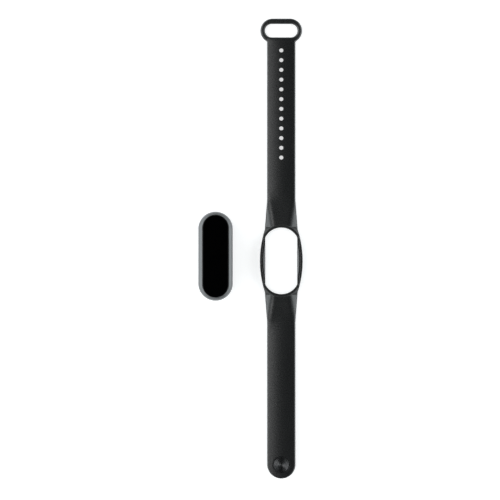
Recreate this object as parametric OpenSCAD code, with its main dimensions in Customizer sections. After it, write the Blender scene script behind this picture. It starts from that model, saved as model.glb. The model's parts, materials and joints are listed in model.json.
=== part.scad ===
// Fitness tracker band: soft strap lying flat, capsule out of its frame beside it.
// Units are mm, +Z is up, the strap's outer face looks up.
// Origin: centre of the capsule opening, on the table plane. +Y points to the loop end.

/* [Strap] */
// width of both arms
arm_w = 15.0; // [13:0.1:17]
// thickness of the arms at the middle
arm_t = 2.1; // [1.9:0.05:2.3]
// how much lower the arm's edges are than its middle
arm_crown = 0.45; // [0.2:0.05:0.6]
// radius of the arm's long edges
edge_r = 0.6; // [0.3:0.05:0.7]
// distance from the opening's centre to the loop's tip
loop_reach = 128.3; // [127:0.1:130]
// distance from the opening's centre to the tail's tip
tail_reach = 115.1; // [114.6:0.1:118]

/* [Holes and stud] */
// radius of the adjustment holes
hole_r = 1.05; // [0.9:0.05:1.3]
// distance between holes
hole_pitch = 5.16; // [5.1:0.01:5.2]
// number of holes
hole_count = 12; // [8:1:12]
// distance from the opening's centre to the first hole
hole_first = 54.7; // [54.6:0.05:54.8]
// radius of the stud's cap
stud_cap_r = 4.0; // [3.4:0.1:4.4]
// radius of the stud's post
stud_post_r = 0.85; // [0.7:0.05:0.9]
// how far the post and its head stand out of the skin side
stud_drop = 3.0; // [2.9:0.05:3.3]
// distance from the opening's centre to the stud
stud_at = 107.8; // [107.2:0.1:108.2]

/* [Loop] */
// outer width of the loop
loop_w = 22.0; // [21.2:0.1:22.4]
// outer length of the loop
loop_l = 12.75; // [12.2:0.05:13.2]
// width of the loop's slot
slot_w = 17.2; // [16.8:0.1:17.4]
// length of the loop's slot
slot_l = 7.1; // [6.9:0.05:7.4]

/* [Frame] */
// width of the frame at the opening
frame_w = 22.65; // [22.2:0.05:23.2]
// radius of the frame's bowed sides
frame_side_r = 54; // [50:0.5:60]
// width of the capsule opening
open_w = 16.9; // [16.8:0.05:17.1]
// length of the capsule opening
open_l = 35.2; // [35.1:0.05:35.5]
// radius of the opening's ends
open_end_r = 9.5; // [9:0.1:10.5]
// height of the ledge that the capsule rests on
seat_z = 3.0; // [2.8:0.05:3.0]
// height of the raised side rims
rim_z = 5.2; // [4.6:0.1:5.6]
// width of the raised side rims
rim_w = 1.5; // [1.2:0.1:1.6]

/* [Capsule] */
// width of the capsule
cap_w = 18.15; // [17.9:0.05:18.4]
// length of the capsule
cap_l = 46.95; // [46.5:0.05:47.4]
// thickness of the capsule
cap_h = 12.45; // [12.4:0.05:12.8]
// width of the cover glass
glass_w = 14.0; // [13.8:0.05:14.2]
// length of the cover glass
glass_l = 43.8; // [43.4:0.05:44.1]
// gap round the capsule's lower body in the opening
cap_gap = 0.35; // [0.3:0.05:0.45]
// where the loose capsule lies, across
cap_x = -34.7; // [-44:0.1:-30]
// where the loose capsule lies, along
cap_y = 2.5; // [-10:0.1:10]

/* [Hidden] */
$fn = 96;
eps = 0.01;
zh = 1.05;                       // height of the strap's bending lines
fit = 0.05;                      // gap between knuckle and seat
bend_max = 28;                   // largest bend of one bending line
lines_near = [21, 27.3, 34.5, 41.8];
loop_step = 2 * hole_pitch;      // bending lines fall between the holes
loop_start = hole_first - hole_pitch / 2;
loop_lines = concat(lines_near, [for (k = [0 : 6]) loop_start + loop_step * k]);
tail_step = 9.95;
tail_lines = concat(lines_near, [for (k = [1 : 6]) 41.8 + tail_step * k]);
flare_in = 16.7;                 // where the flare meets the bowed sides
flare_out = 32.3;                // where the flare meets the plain arm
flare_w = 17.4;
crown_r = pow(arm_w / 2, 2) / (2 * arm_crown) + arm_crown / 2;
flare_r = 26;
tail_tilt = asin(stud_drop / (stud_at - lines_near[0]));
frame_cx = frame_w / 2 - frame_side_r;
rim_drop_r = 63;
cap_run = cap_l - cap_w;         // straight length of the capsule's outline
glass_run = glass_l - glass_w;
seat_gap = 0.1;                  // gap between the docked capsule and the rims
flange_z = 4.05;                 // underside of the capsule's wide part
floor_z = 0.9;                   // underside of the capsule's lower body
wall = 1.05;
low_w = open_w - 2 * cap_gap;
low_l = open_l - 2 * cap_gap;
low_r = open_end_r - cap_gap;
motor_y = 13.4;                  // middle of the motor can
motor_z = 7.1;
motor_turn = atan2(-cap_y, -cap_x); // the motor lies square to the docking arc

// ---- shared shapes ----

// top of the strap at a distance from the opening's centre
function top_z(y) = y >= flare_out ? arm_t
    : seat_z - (seat_z - arm_t) * max(0, y - open_l / 2) / (flare_out - open_l / 2);

// arm cross-section, drawn with height along the second axis
module arm_section(w, t) {
    intersection() {
        translate([0, t - crown_r]) circle(r = crown_r, $fn = 200);
        union() {
            translate([-w / 2 + edge_r, 0]) square([w - 2 * edge_r, t]);
            translate([-w / 2, edge_r]) square([w, t - 2 * edge_r]);
            for (x = [-1, 1]) for (z = [edge_r, t - edge_r])
                translate([x * (w / 2 - edge_r), z]) circle(r = edge_r, $fn = 48);
        }
    }
}

// plain arm between two distances from the centre
module arm_bar(y0, y1) {
    translate([0, y1, 0]) rotate([90, 0, 0]) linear_extrude(height = y1 - y0)
        arm_section(arm_w, arm_t);
}

// strap between the frame and the plain arm: wider, thicker, with sloped sides
module flare_bar() {
    intersection() {
        linear_extrude(height = seat_z) polygon([
            [-flare_w / 2, flare_in], [flare_w / 2, flare_in],
            [arm_w / 2, flare_out], [arm_w / 2, 42], [-arm_w / 2, 42], [-arm_w / 2, flare_out]]);
        translate([-20, 0, 0]) rotate([90, 0, 90]) linear_extrude(height = 40) polygon([
            [10, 0], [42, 0], [42, arm_t], [flare_out, arm_t], [open_l / 2, seat_z], [10, seat_z]]);
        translate([0, 0, seat_z - flare_r]) rotate([-90, 0, 0]) cylinder(r = flare_r, h = 50, $fn = 200);
    }
}

// side view of one segment between bending lines a and b, rounded at a, hollowed at b
module segment_side(a, b, up) {
    ra = top_z(a) - zh;
    rb = top_z(b) - zh;
    difference() {
        union() {
            translate([a, zh]) circle(r = ra - fit, $fn = 64);
            translate([a, -1]) square([b - a, 8]);
        }
        translate([b, zh]) circle(r = rb, $fn = 64);
        if (rb <= zh + eps) translate([b - rb * sin(bend_max) - 0.1, -1]) square([5, 1 + zh]);
        translate([b - (up ? rb * sin(bend_max) + 0.1 : 0.3), zh]) square([5, 8]);
    }
}

// cuts one segment out of the strap drawn as its child
module segment(a, b, up = false) {
    intersection() {
        children();
        translate([-20, 0, 0]) rotate([90, 0, 90]) linear_extrude(height = 40) segment_side(a, b, up);
    }
}

// only the holes that fall between two distances, so that each segment stays light
module holes_between(a, b) {
    for (k = [0 : hole_count - 1]) {
        y = hole_first + k * hole_pitch;
        if (y > a && y < b) translate([0, y, -1]) cylinder(r = hole_r, h = arm_t + 2, $fn = 48);
    }
}

module loop_segment(i) {
    a = loop_lines[i - 1];
    b = loop_lines[i];
    difference() {
        segment(a, b, i == 10)
            if (i < 4) flare_bar(); else arm_bar(a - 3, b + 3);
        holes_between(a, b);
    }
}

module mirrored_tail() { mirror([0, 1, 0]) children(); }

// the tail rises a little from the frame because the stud's post stands on the table
module on_tail() {
    translate([0, -lines_near[0], zh]) rotate([-tail_tilt, 0, 0])
        translate([0, lines_near[0], -zh]) children();
}

module tail_segment(i) {
    a = tail_lines[i - 1];
    b = tail_lines[i];
    intersection() {
        on_tail() mirrored_tail() segment(a, b)
            if (i < 4) flare_bar(); else arm_bar(a - 3, b + 3);
        if (i == 1) translate([-20, -60, 0]) cube([40, 60, 20]);
    }
}

// rounded-end block made from a half profile of [radius, height] points
module pill(points, run) {
    for (s = [0, 180]) rotate([0, 0, s]) translate([0, run / 2, 0])
        rotate_extrude(angle = 180) polygon(points);
    rotate([90, 0, 0]) linear_extrude(height = run, center = true) union() {
        polygon(points);
        mirror([1, 0]) polygon(points);
    }
}

module pill_block(r, run, z0, z1) {
    translate([0, 0, z0]) linear_extrude(height = z1 - z0) pill_plan(r, run);
}

module pill_plan(r, run) {
    square([2 * r, run], center = true);
    for (s = [-1, 1]) translate([0, s * run / 2]) circle(r = r);
}

// outline of the opening, and of anything that follows it
module opening_plan(w, l, r) {
    intersection() {
        square([w, l], center = true);
        union() {
            square([w, l - 2 * r + 2 * sqrt(r * r - w * w / 4)], center = true);
            for (s = [-1, 1]) translate([0, s * (l / 2 - r)]) circle(r = r);
        }
    }
}

module in_capsule() { translate([cap_x, cap_y, 0]) children(); }

module block(x, y, z, sx, sy, sz) { translate([x - sx / 2, y - sy / 2, z]) cube([sx, sy, sz]); }

// ---- strap ----

module rim_arc() {
    inner = frame_side_r - rim_w;
    intersection() {
        translate([frame_cx, 0, 0]) rotate([0, 0, -18]) rotate_extrude(angle = 36, $fn = 200) polygon([
            [inner, 0], [frame_side_r, 0], [frame_side_r, rim_z - 0.6], [frame_side_r - 0.4, rim_z + 0.2],
            [inner + 0.4, rim_z + 0.2], [inner, rim_z - 0.6]]);
        translate([-20, 0, rim_z - rim_drop_r]) rotate([0, 90, 0])
            cylinder(r = rim_drop_r, h = 40, $fn = 200);
    }
}

module rim_line() {
    translate([frame_cx, 0, seat_z - 0.4]) rotate([0, 0, -15]) rotate_extrude(angle = 30, $fn = 200)
        translate([frame_side_r - rim_w - 0.32, 0]) square([0.35, 1]);
}

// the rims stop short of the docked capsule's outline
module capsule_room() {
    translate([0, 0, seat_z + 0.02]) linear_extrude(height = 5) pill_plan(cap_w / 2 + seat_gap, cap_run);
}

module frame_half() {
    a = lines_near[0];
    difference() {
        intersection() {
            flare_bar();
            translate([-20, 0, 0]) cube([40, a, 8]);
        }
        translate([-20, a, zh]) rotate([0, 90, 0]) cylinder(r = top_z(a) - zh, h = 40, $fn = 64);
        translate([-20, a - 0.3, zh]) cube([40, 5, 8]);
    }
}

module strap_frame() color([0.11, 0.11, 0.12]) {
    difference() {
        union() {
            frame_half();
            mirrored_tail() frame_half();
            linear_extrude(height = seat_z) intersection() {
                translate([frame_cx, 0]) circle(r = frame_side_r - 0.02, $fn = 200);
                translate([-frame_cx, 0]) circle(r = frame_side_r - 0.02, $fn = 200);
                square([40, 2 * flare_in + 0.2], center = true);
            }
            rim_arc();
            mirror([1, 0, 0]) rim_arc();
        }
        translate([0, 0, -1]) linear_extrude(height = 10) opening_plan(open_w, open_l, open_end_r);
        capsule_room();
        rim_line();
        mirror([1, 0, 0]) rim_line();
    }
}

module strap_loop() color([0.11, 0.11, 0.12]) {
    a = loop_lines[10];
    c = loop_reach - loop_l / 2;
    difference() {
        union() {
            segment(a, c - 3) arm_bar(a - 3, c - 3);
            linear_extrude(height = arm_t) {
                loop_plan(loop_w, loop_l, c);
                loop_neck(c);
            }
        }
        translate([0, 0, -1]) linear_extrude(height = 5) loop_plan(slot_w, slot_l, c);
    }
}

module loop_arm_01() color([0.11, 0.11, 0.12]) loop_segment(1);
module loop_arm_02() color([0.11, 0.11, 0.12]) loop_segment(2);
module loop_arm_03() color([0.11, 0.11, 0.12]) loop_segment(3);
module loop_arm_04() color([0.11, 0.11, 0.12]) loop_segment(4);
module loop_arm_05() color([0.11, 0.11, 0.12]) loop_segment(5);
module loop_arm_06() color([0.11, 0.11, 0.12]) loop_segment(6);
module loop_arm_07() color([0.11, 0.11, 0.12]) loop_segment(7);
module loop_arm_08() color([0.11, 0.11, 0.12]) loop_segment(8);
module loop_arm_09() color([0.11, 0.11, 0.12]) loop_segment(9);
module loop_arm_10() color([0.11, 0.11, 0.12]) loop_segment(10);
module tail_arm_01() color([0.11, 0.11, 0.12]) tail_segment(1);
module tail_arm_02() color([0.11, 0.11, 0.12]) tail_segment(2);
module tail_arm_03() color([0.11, 0.11, 0.12]) tail_segment(3);
module tail_arm_04() color([0.11, 0.11, 0.12]) tail_segment(4);
module tail_arm_05() color([0.11, 0.11, 0.12]) tail_segment(5);
module tail_arm_06() color([0.11, 0.11, 0.12]) tail_segment(6);
module tail_arm_07() color([0.11, 0.11, 0.12]) tail_segment(7);
module tail_arm_08() color([0.11, 0.11, 0.12]) tail_segment(8);
module tail_arm_09() color([0.11, 0.11, 0.12]) tail_segment(9);

// small hollow corners where the arm runs into the loop
module loop_neck(c) {
    y = c - loop_l / 2;
    difference() {
        translate([-arm_w / 2 - 0.9, y - 1.2]) square([arm_w + 1.8, 2.2]);
        for (s = [-1, 1]) translate([s * (arm_w / 2 + 1.2), y - 1.2]) circle(r = 1.2);
    }
}

module loop_plan(w, l, y) {
    translate([0, y]) square([w - l, l], center = true);
    for (s = [-1, 1]) translate([s * (w - l) / 2, y]) circle(r = l / 2);
}

module tail_tip() color([0.11, 0.11, 0.12]) {
    a = tail_lines[9];
    e = tail_reach - arm_w / 2;
    on_tail() mirrored_tail() difference() {
        intersection() {
            segment(a, tail_reach + 5) arm_bar(a - 3, tail_reach + 1);
            union() {
                translate([-arm_w / 2, a - 3, 0]) cube([arm_w, e - a + 3, arm_t]);
                translate([0, e, 0]) cylinder(r = arm_w / 2, h = arm_t);
            }
        }
        translate([0, stud_at, -1]) cylinder(r = stud_post_r + fit, h = 5);
        translate([0, stud_at, arm_t - 0.55]) cylinder(r = stud_cap_r + 0.2, h = 2);
    }
}

// ---- stud ----

module stud_cap() color([0.30, 0.30, 0.32]) on_tail() translate([0, -stud_at, arm_t - 0.5])
    rotate_extrude() polygon([
        [0, 0], [stud_cap_r, 0], [stud_cap_r, 0.6], [stud_cap_r - 0.25, 0.85], [stud_cap_r - 0.5, 0.85],
        [stud_cap_r - 0.6, 0.75], [0, 0.7]]);

module stud_post() color([0.55, 0.55, 0.57]) on_tail() translate([0, -stud_at, 0])
    rotate_extrude() polygon([
        [0, arm_t - 0.52], [stud_post_r, arm_t - 0.52], [stud_post_r, -2.5], [1.2, -2.6], [1.25, -2.7],
        [1.05, -2.85], [0.6, -stud_drop + 0.03], [0, -stud_drop]]);

// ---- capsule ----

module cover_glass() color([0.02, 0.02, 0.03]) in_capsule() {
    r = glass_w / 2;
    pill([[0, 11.15], [r, 11.15], [r, cap_h - 0.5], [r - 0.35, cap_h - 0.22], [r - 1.1, cap_h - 0.05],
        [r - 2, cap_h], [0, cap_h]], glass_run);
}

module glass_adhesive() color([0.1, 0.1, 0.1]) in_capsule() difference() {
    pill_block(6.95, cap_run, 11.02, 11.13);
    pill_block(6.5, cap_run, 11, 11.2);
}

module touch_film() color([0.35, 0.33, 0.28]) in_capsule() pill_block(6.3, cap_run, 11.0, 11.12);

module display_panel() color([0.05, 0.05, 0.08]) in_capsule() pill_block(6.2, 28.4, 9.9, 10.97);

module display_foam() color([0.2, 0.2, 0.2]) in_capsule() pill_block(6.0, 28.0, 9.5, 9.87);

module display_flex() color([0.75, 0.45, 0.12]) in_capsule() {
    block(0, -20.85, 8.9, 5, 0.15, 1.5);
    block(0, -20.55, 8.75, 5, 0.75, 0.15);
    block(0, -20.7, 10.25, 5, 0.2, 0.15);
}

module upper_housing() color([0.42, 0.43, 0.44]) in_capsule() {
    r = cap_w / 2;
    difference() {
        pill([[0, flange_z], [r - 0.6, flange_z], [r - 0.15, flange_z + 0.3], [r, flange_z + 0.9],
            [r, 9.3], [r - 0.25, 10.2], [r - 0.95, 11.25], [r - 1.9, 11.85], [0, 11.85]], cap_run);
        pill_block(r - wall, cap_run, 3, 10.6);
        pill_block(6.4, cap_run, 3, 12);
        pill_block(glass_w / 2 + 0.05, glass_run, 11.0, 13);
    }
}

module lower_housing() color([0.07, 0.07, 0.08]) in_capsule() difference() {
    union() {
        pill_block(cap_w / 2 - wall - 0.03, cap_run, flange_z, flange_z + 0.8);
        translate([0, 0, floor_z]) linear_extrude(height = flange_z - floor_z + 0.1)
            opening_plan(low_w - 0.7, low_l - 0.7, low_r - 0.35);
        translate([0, 0, floor_z + 0.4]) linear_extrude(height = 2.0) opening_plan(low_w, low_l, low_r);
        translate([0, 0, floor_z]) linear_extrude(height = 0.5)
            opening_plan(low_w - 0.5, low_l - 0.5, low_r - 0.25);
    }
    translate([0, 0, 1.7]) linear_extrude(height = 5) opening_plan(low_w - 1.8, low_l - 1.8, low_r - 0.9);
    translate([0, 0, 0]) cylinder(r = 5.65, h = 3);
    for (x = [-2.6, 2.6]) translate([x, -13.2, 0]) cylinder(r = 1.0, h = 3);
}

module housing_gasket() color([0.25, 0.25, 0.26]) in_capsule() difference() {
    pill_block(7.95, cap_run, 4.88, 5.3);
    pill_block(7.4, cap_run, 4, 6);
}

module inner_chassis() color([0.16, 0.16, 0.17]) in_capsule() difference() {
    union() {
        difference() {
            pill_block(7.9, cap_run, 5.33, 9.4);
            pill_block(7.3, cap_run, 5, 7.2);
            pill_block(6.5, cap_run, 5, 10);
            pill_block(7.3, cap_run, 7.65, 10);
        }
        intersection() {
            block(0, -18.2, 5.33, 15, 2.6, 2.32);
            pill_block(7.6, cap_run, 5, 8);
        }
    }
    for (x = [-3, 3]) translate([x, -18.2, 5.7]) cylinder(r = 0.55, h = 5);
}

module main_board() color([0.05, 0.25, 0.14]) in_capsule() difference() {
    intersection() {
        pill_block(7.2, cap_run, 7.7, 8.5);
        block(0, -5.85, 7, 15, 28.9, 3);
    }
    for (x = [-3, 3]) translate([x, -18.2, 7]) cylinder(r = 0.6, h = 3);
}

module processor() color([0.03, 0.03, 0.03]) in_capsule() block(1.8, -3, 8.53, 5, 5, 0.75);
module memory_chip() color([0.04, 0.04, 0.04]) in_capsule() block(1.8, -9, 8.53, 4, 3.4, 0.6);
module power_chip() color([0.03, 0.03, 0.03]) in_capsule() block(-3.2, -10.2, 8.53, 2.6, 2.6, 0.55);
module motion_sensor() color([0.06, 0.06, 0.06]) in_capsule() block(-3.2, -5.8, 8.53, 2.5, 2.5, 0.8);
module radio_module() color([0.7, 0.7, 0.7]) in_capsule() block(1.2, 4, 8.53, 6, 5, 0.85);
module antenna_strip() color([0.8, 0.55, 0.2]) in_capsule() block(-6.2, -4, 8.53, 0.9, 18, 0.3);

module board_screws() color([0.6, 0.6, 0.6]) in_capsule() for (x = [-3, 3]) translate([x, -18.2, 0])
    difference() {
        union() {
            translate([0, 0, 8.53]) cylinder(r = 1.0, h = 0.5, $fn = 48);
            translate([0, 0, 5.9]) cylinder(r = 0.5, h = 2.7, $fn = 48);
        }
        for (a = [0, 90]) rotate([0, 0, a]) block(0, 0, 8.85, 1.3, 0.25, 1);
    }

module battery_cell() color([0.62, 0.64, 0.66]) in_capsule() intersection() {
    block(0, -1.6, 3.2, 13.2, 19.6, 3.95);
    translate([-10, 0, 5.175]) rotate([0, 90, 0]) linear_extrude(height = 20)
        translate([0, -1.6]) battery_side();
}

// battery side view with soft corners
module battery_side() {
    square([3.95, 18.0], center = true);
    square([2.35, 19.6], center = true);
    for (z = [-1, 1]) for (y = [-1, 1]) translate([z * 1.175, y * 9.0]) circle(r = 0.8, $fn = 48);
}

module battery_tape() color([0.85, 0.75, 0.3]) in_capsule() block(0, -1.6, 7.17, 9, 14, 0.05);

module battery_lead() color([0.7, 0.1, 0.1]) in_capsule() for (x = [-4.4, -3.2]) {
    translate([x, 8.75, 5.2]) cylinder(r = 0.4, h = 2.45, $fn = 32);
    translate([x, 8.3, 5.6]) rotate([-90, 0, 0]) cylinder(r = 0.4, h = 0.45, $fn = 32);
}

// places a child drawn along +Y on the motor's axis
module on_motor() {
    in_capsule() translate([0, motor_y, motor_z]) rotate([0, 0, motor_turn]) children();
}

module motor_can() color([0.72, 0.72, 0.73]) on_motor() difference() {
    translate([0, -3.7, 0]) rotate([-90, 0, 0]) cylinder(r = 2.1, h = 7.4);
    translate([0, 2.6, 0]) rotate([-90, 0, 0]) cylinder(r = 0.45, h = 3, $fn = 48);
}

module motor_boot() color([0.3, 0.12, 0.1]) on_motor() difference() {
    union() {
        translate([0, -2.6, 0]) rotate([-90, 0, 0]) cylinder(r = 2.35, h = 4.6);
        block(0, -0.3, -4.2, 4.0, 4.6, 3);
    }
    translate([0, -4, 0]) rotate([-90, 0, 0]) cylinder(r = 2.15, h = 8);
}

module motor_rotor() color([0.5, 0.48, 0.42]) on_motor() {
    translate([0, 2.9, 0]) rotate([-90, 0, 0]) cylinder(r = 0.4, h = 3.6, $fn = 48);
    intersection() {
        translate([0, 4.1, 0]) rotate([-90, 0, 0]) cylinder(r = 1.9, h = 2.2);
        block(0, 5, -2.5, 5, 5, 2.6);
    }
}

module sensor_board() color([0.05, 0.2, 0.35]) in_capsule() block(0, 0, 2.35, 11, 13, 0.5);

module green_lights() color([0.3, 0.9, 0.4]) in_capsule() for (y = [-3.3, 3.3])
    block(0, y, 1.72, 1.6, 1.2, 0.6);

module photodiode() color([0.15, 0.1, 0.1]) in_capsule() block(0, 0, 1.75, 2.6, 2.2, 0.55);

module light_baffle() color([0.08, 0.08, 0.08]) in_capsule() difference() {
    translate([0, 0, 1.72]) cylinder(r = 5.2, h = 0.6);
    block(0, 0, 1, 2.9, 2.5, 3);
    for (y = [-3.3, 3.3]) block(0, y, 1, 1.9, 1.5, 3);
}

module sensor_window() color([0.04, 0.05, 0.05]) in_capsule() rotate_extrude() polygon([
    [0, 0], [4.0, 0], [4.9, 0.2], [5.6, 0.75], [5.6, 1.68], [0, 1.68]]);

module charge_contacts() color([0.85, 0.7, 0.4]) in_capsule() for (x = [-2.6, 2.6])
    translate([x, -13.2, 0]) {
        translate([0, 0, 0.8]) cylinder(r = 0.95, h = 0.95);
        translate([0, 0, 1.72]) cylinder(r = 1.3, h = 0.5);
    }

module charge_magnet() color([0.6, 0.6, 0.62]) in_capsule() block(0, -9.4, 1.72, 8, 2.2, 1.3);

// ---- assembly ----

strap_frame();
loop_arm_01();
loop_arm_02();
loop_arm_03();
loop_arm_04();
loop_arm_05();
loop_arm_06();
loop_arm_07();
loop_arm_08();
loop_arm_09();
loop_arm_10();
strap_loop();
tail_arm_01();
tail_arm_02();
tail_arm_03();
tail_arm_04();
tail_arm_05();
tail_arm_06();
tail_arm_07();
tail_arm_08();
tail_arm_09();
tail_tip();
stud_cap();
stud_post();
cover_glass();
glass_adhesive();
touch_film();
display_panel();
display_foam();
display_flex();
upper_housing();
lower_housing();
housing_gasket();
inner_chassis();
main_board();
processor();
memory_chip();
power_chip();
motion_sensor();
radio_module();
antenna_strip();
board_screws();
battery_cell();
battery_tape();
battery_lead();
motor_can();
motor_boot();
motor_rotor();
sensor_board();
green_lights();
photodiode();
light_baffle();
sensor_window();
charge_contacts();
charge_magnet();
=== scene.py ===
import json
import math

import bmesh
import bpy
import numpy as np
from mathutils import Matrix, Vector


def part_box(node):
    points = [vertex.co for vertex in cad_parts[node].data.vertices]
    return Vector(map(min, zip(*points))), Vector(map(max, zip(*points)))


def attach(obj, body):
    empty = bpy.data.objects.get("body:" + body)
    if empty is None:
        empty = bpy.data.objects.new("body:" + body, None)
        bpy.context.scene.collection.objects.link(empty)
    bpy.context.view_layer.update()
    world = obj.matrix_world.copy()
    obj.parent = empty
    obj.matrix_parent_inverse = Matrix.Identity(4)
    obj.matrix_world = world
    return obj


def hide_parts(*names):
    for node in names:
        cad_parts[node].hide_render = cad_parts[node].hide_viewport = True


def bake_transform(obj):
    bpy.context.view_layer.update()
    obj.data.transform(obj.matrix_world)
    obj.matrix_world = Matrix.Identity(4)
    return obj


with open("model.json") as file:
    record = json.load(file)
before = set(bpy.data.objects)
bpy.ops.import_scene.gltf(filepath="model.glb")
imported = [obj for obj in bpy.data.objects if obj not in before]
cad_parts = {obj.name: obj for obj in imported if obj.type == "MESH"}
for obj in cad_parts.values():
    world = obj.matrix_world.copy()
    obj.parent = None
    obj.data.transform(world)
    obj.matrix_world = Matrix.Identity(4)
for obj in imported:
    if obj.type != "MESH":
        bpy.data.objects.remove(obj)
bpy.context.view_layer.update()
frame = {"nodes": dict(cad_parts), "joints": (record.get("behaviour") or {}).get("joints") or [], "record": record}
MM = 0.001

# ------------------------------------------------------------------ sizes read from the frame, in mm
_, hi_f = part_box("strap_frame")
lo_a, hi_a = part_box("loop_arm_06")
_, hi_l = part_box("strap_loop")
lo_h, hi_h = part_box("upper_housing")
lo_g, hi_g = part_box("cover_glass")
lo_s, hi_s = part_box("stud_cap")
JOINTS = {j["name"]: j for j in frame["joints"]}

ARM_HALF = (hi_a.x - lo_a.x) / 2 / MM
ARM_T = hi_a.z / MM
RIM_Z = hi_f.z / MM
FRAME_HALF = hi_f.x / MM
LINE_Z = JOINTS["curl_loop_arm"]["pos_m"][2] / MM
LOOP_LINES = [j["pos_m"][1] / MM for j in frame["joints"]
              if j["name"] == "curl_loop_arm" or j["name"].startswith("loop_bend")]
LOOP_TIP = hi_l.y / MM
LOOP_HALF = hi_l.x / MM
CAP = np.array([(lo_h.x + hi_h.x) / 2, (lo_h.y + hi_h.y) / 2]) / MM
CAP_R = (hi_h.x - lo_h.x) / 2 / MM
CAP_RUN = (hi_h.y - lo_h.y) / MM - 2 * CAP_R
CAP_TOP = hi_g.z / MM
FLANGE_Z = lo_h.z / MM
GLASS_R = (hi_g.x - lo_g.x) / 2 / MM
GLASS_RUN = (hi_g.y - lo_g.y) / MM - 2 * GLASS_R

# ------------------------------------------------------------------ the CAD part's own sizes, in mm
SEAT_Z = 3.0                    # height of the ledge that the capsule rests on
HOLE_R, HOLE_PITCH, HOLE_FIRST, HOLES = 1.05, 5.16, 54.7, 12
CELL = HOLE_PITCH / 2
SIDE_R = 54.0                   # bow of the frame's sides
OPEN_HALF, OPEN_LEN, OPEN_R = 8.45, 17.6, 9.5   # opening: half width, half length, end radius
LOOP_LEN = 12.75
SLOT_HALF, SLOT_LEN = 8.6, 7.1
FLARE_IN, FLARE_OUT, FLARE_HALF = 16.7, 32.3, 8.7
TAIL_LINES = [21, 27.3, 34.5, 41.8] + [41.8 + 9.95 * k for k in range(1, 7)]
TAIL_TIP = 115.1
STUD_AT, STUD_R, STUD_DROP = 107.8, 4.0, 3.0
TILT = math.asin(STUD_DROP / (STUD_AT - TAIL_LINES[0]))

# ------------------------------------------------------------------ finer form, in mm
CUT = 19.5                      # where the frame piece hands over to the arms
EDGE = 0.6                      # rounding of the strap's long edges, outer face
UNDER_EDGE = 0.45               # the same on the skin side
CROWN = 0.45                    # how much lower the arm's edges are than its middle
RING = 1.35                     # width of the ring round the opening
FACET_SLOPE = 0.40              # side facets of the flares
FACET_END, FACET_FADE = 39.0, 14.0              # where the facets have run out, and over what length
LEDGE_SLOPE, LEDGE_W = 0.46, 1.5                # ledge inside the rims, sloping to the opening
CREST_W, CREST_END, CREST_BOW = 1.4, 15.4, 63   # raised rims: width, far end, radius of their arch
SIDE_END = 13.6                 # where the ledges beside the opening fade
SINK = 0.02                     # how far the ring and ledges stay below the CAD part's ledge
GROOVE = 0.30                   # depth of the fine groove beside the rims
HOLE_LIP = 0.22
RECESS_R, BORE_R = 4.42, 0.90   # the stud's recess and the bore of its post
FILLET_R = 1.5                  # where the arm runs into the loop
LOOP_BEND_END = 117.6           # where the loop arm's last bend is over
TAIL_BEND = 4.2                 # how far the tail's last bend reaches past its line


# ------------------------------------------------------------------ mesh helpers (mm in, metres out)
class Patches:
    """Collects grids of points that share borders, then welds them into one closed mesh."""

    def __init__(self):
        self.verts, self.faces, self.count = [], [], 0

    def grid(self, pts, flip=False, wrap=False):
        """Adds rows of points as quads; wrap joins each row's last point to its first."""
        pts = np.asarray(pts, float)
        n, m = pts.shape[:2]
        self.verts.append(pts.reshape(-1, 3))
        i, j = np.meshgrid(np.arange(n - 1), np.arange(m if wrap else m - 1), indexing="ij")
        j2 = (j + 1) % m
        a, b = i * m + j, i * m + j2
        c, d = (i + 1) * m + j2, (i + 1) * m + j
        quads = np.stack([a, b, c, d] if not flip else [a, d, c, b], -1).reshape(-1, 4)
        self.faces.append(quads + self.count)
        self.count += n * m

    def build(self, name, move=None, weld=4e-6, sharp=38):
        """The welded object; move changes the points first, and sharp is in degrees."""
        v = np.concatenate(self.verts)
        if move is not None:
            v = move(v)
        f = np.concatenate(self.faces)
        me = bpy.data.meshes.new(name)
        me.from_pydata((v * MM).tolist(), [], f.tolist())
        bm = bmesh.new()
        bm.from_mesh(me)
        bmesh.ops.remove_doubles(bm, verts=bm.verts, dist=weld)
        bmesh.ops.dissolve_degenerate(bm, edges=bm.edges, dist=1e-7)
        bmesh.ops.recalc_face_normals(bm, faces=bm.faces)
        bm.to_mesh(me)
        bm.free()
        me.shade_smooth()
        me.set_sharp_from_angle(angle=math.radians(sharp))
        return add(name, me)


def add(name, data):
    """A new object in the scene."""
    ob = bpy.data.objects.new(name, data)
    bpy.context.scene.collection.objects.link(ob)
    return ob


def smooth(t):
    """Eases from 0 to 1, flat outside."""
    t = np.clip(t, 0, 1)
    return t * t * (3 - 2 * t)


def soft_max(a, b, k):
    """The larger of two values, blended where they differ by less than k."""
    h = np.clip(0.5 + (a - b) / (2 * k), 0, 1)
    return b + (a - b) * h + k * h * (1 - h)


def roll(d, r):
    """How far a rounded edge of radius r has dropped at distance d from the border."""
    d = np.clip(d, 0, r)
    return r - np.sqrt(np.maximum(r * r - (r - d) ** 2, 0))


# ------------------------------------------------------------------ the strap's outer form
def half_width(y):
    """Half width of the strap at distance y from the opening's centre."""
    y = np.abs(np.asarray(y, float))
    side = FRAME_HALF - SIDE_R + np.sqrt(np.maximum(SIDE_R ** 2 - y ** 2, 1))
    flare = ARM_HALF + (FLARE_HALF - ARM_HALF) * (FLARE_OUT - y) / (FLARE_OUT - FLARE_IN)
    w = soft_max(side, flare, 0.10)
    return soft_max(w, np.full_like(w, ARM_HALF), 0.04)


def fold_line(y):
    """Where the flat middle of the outer face folds down into the side facets."""
    reach = np.maximum(y - (OPEN_LEN - OPEN_R), 0)
    ring = np.sqrt(np.maximum((OPEN_R + RING) ** 2 - reach ** 2, 0))
    return soft_max(ring, 4.5 + 0.15 * (y - OPEN_LEN), 0.5)


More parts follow.
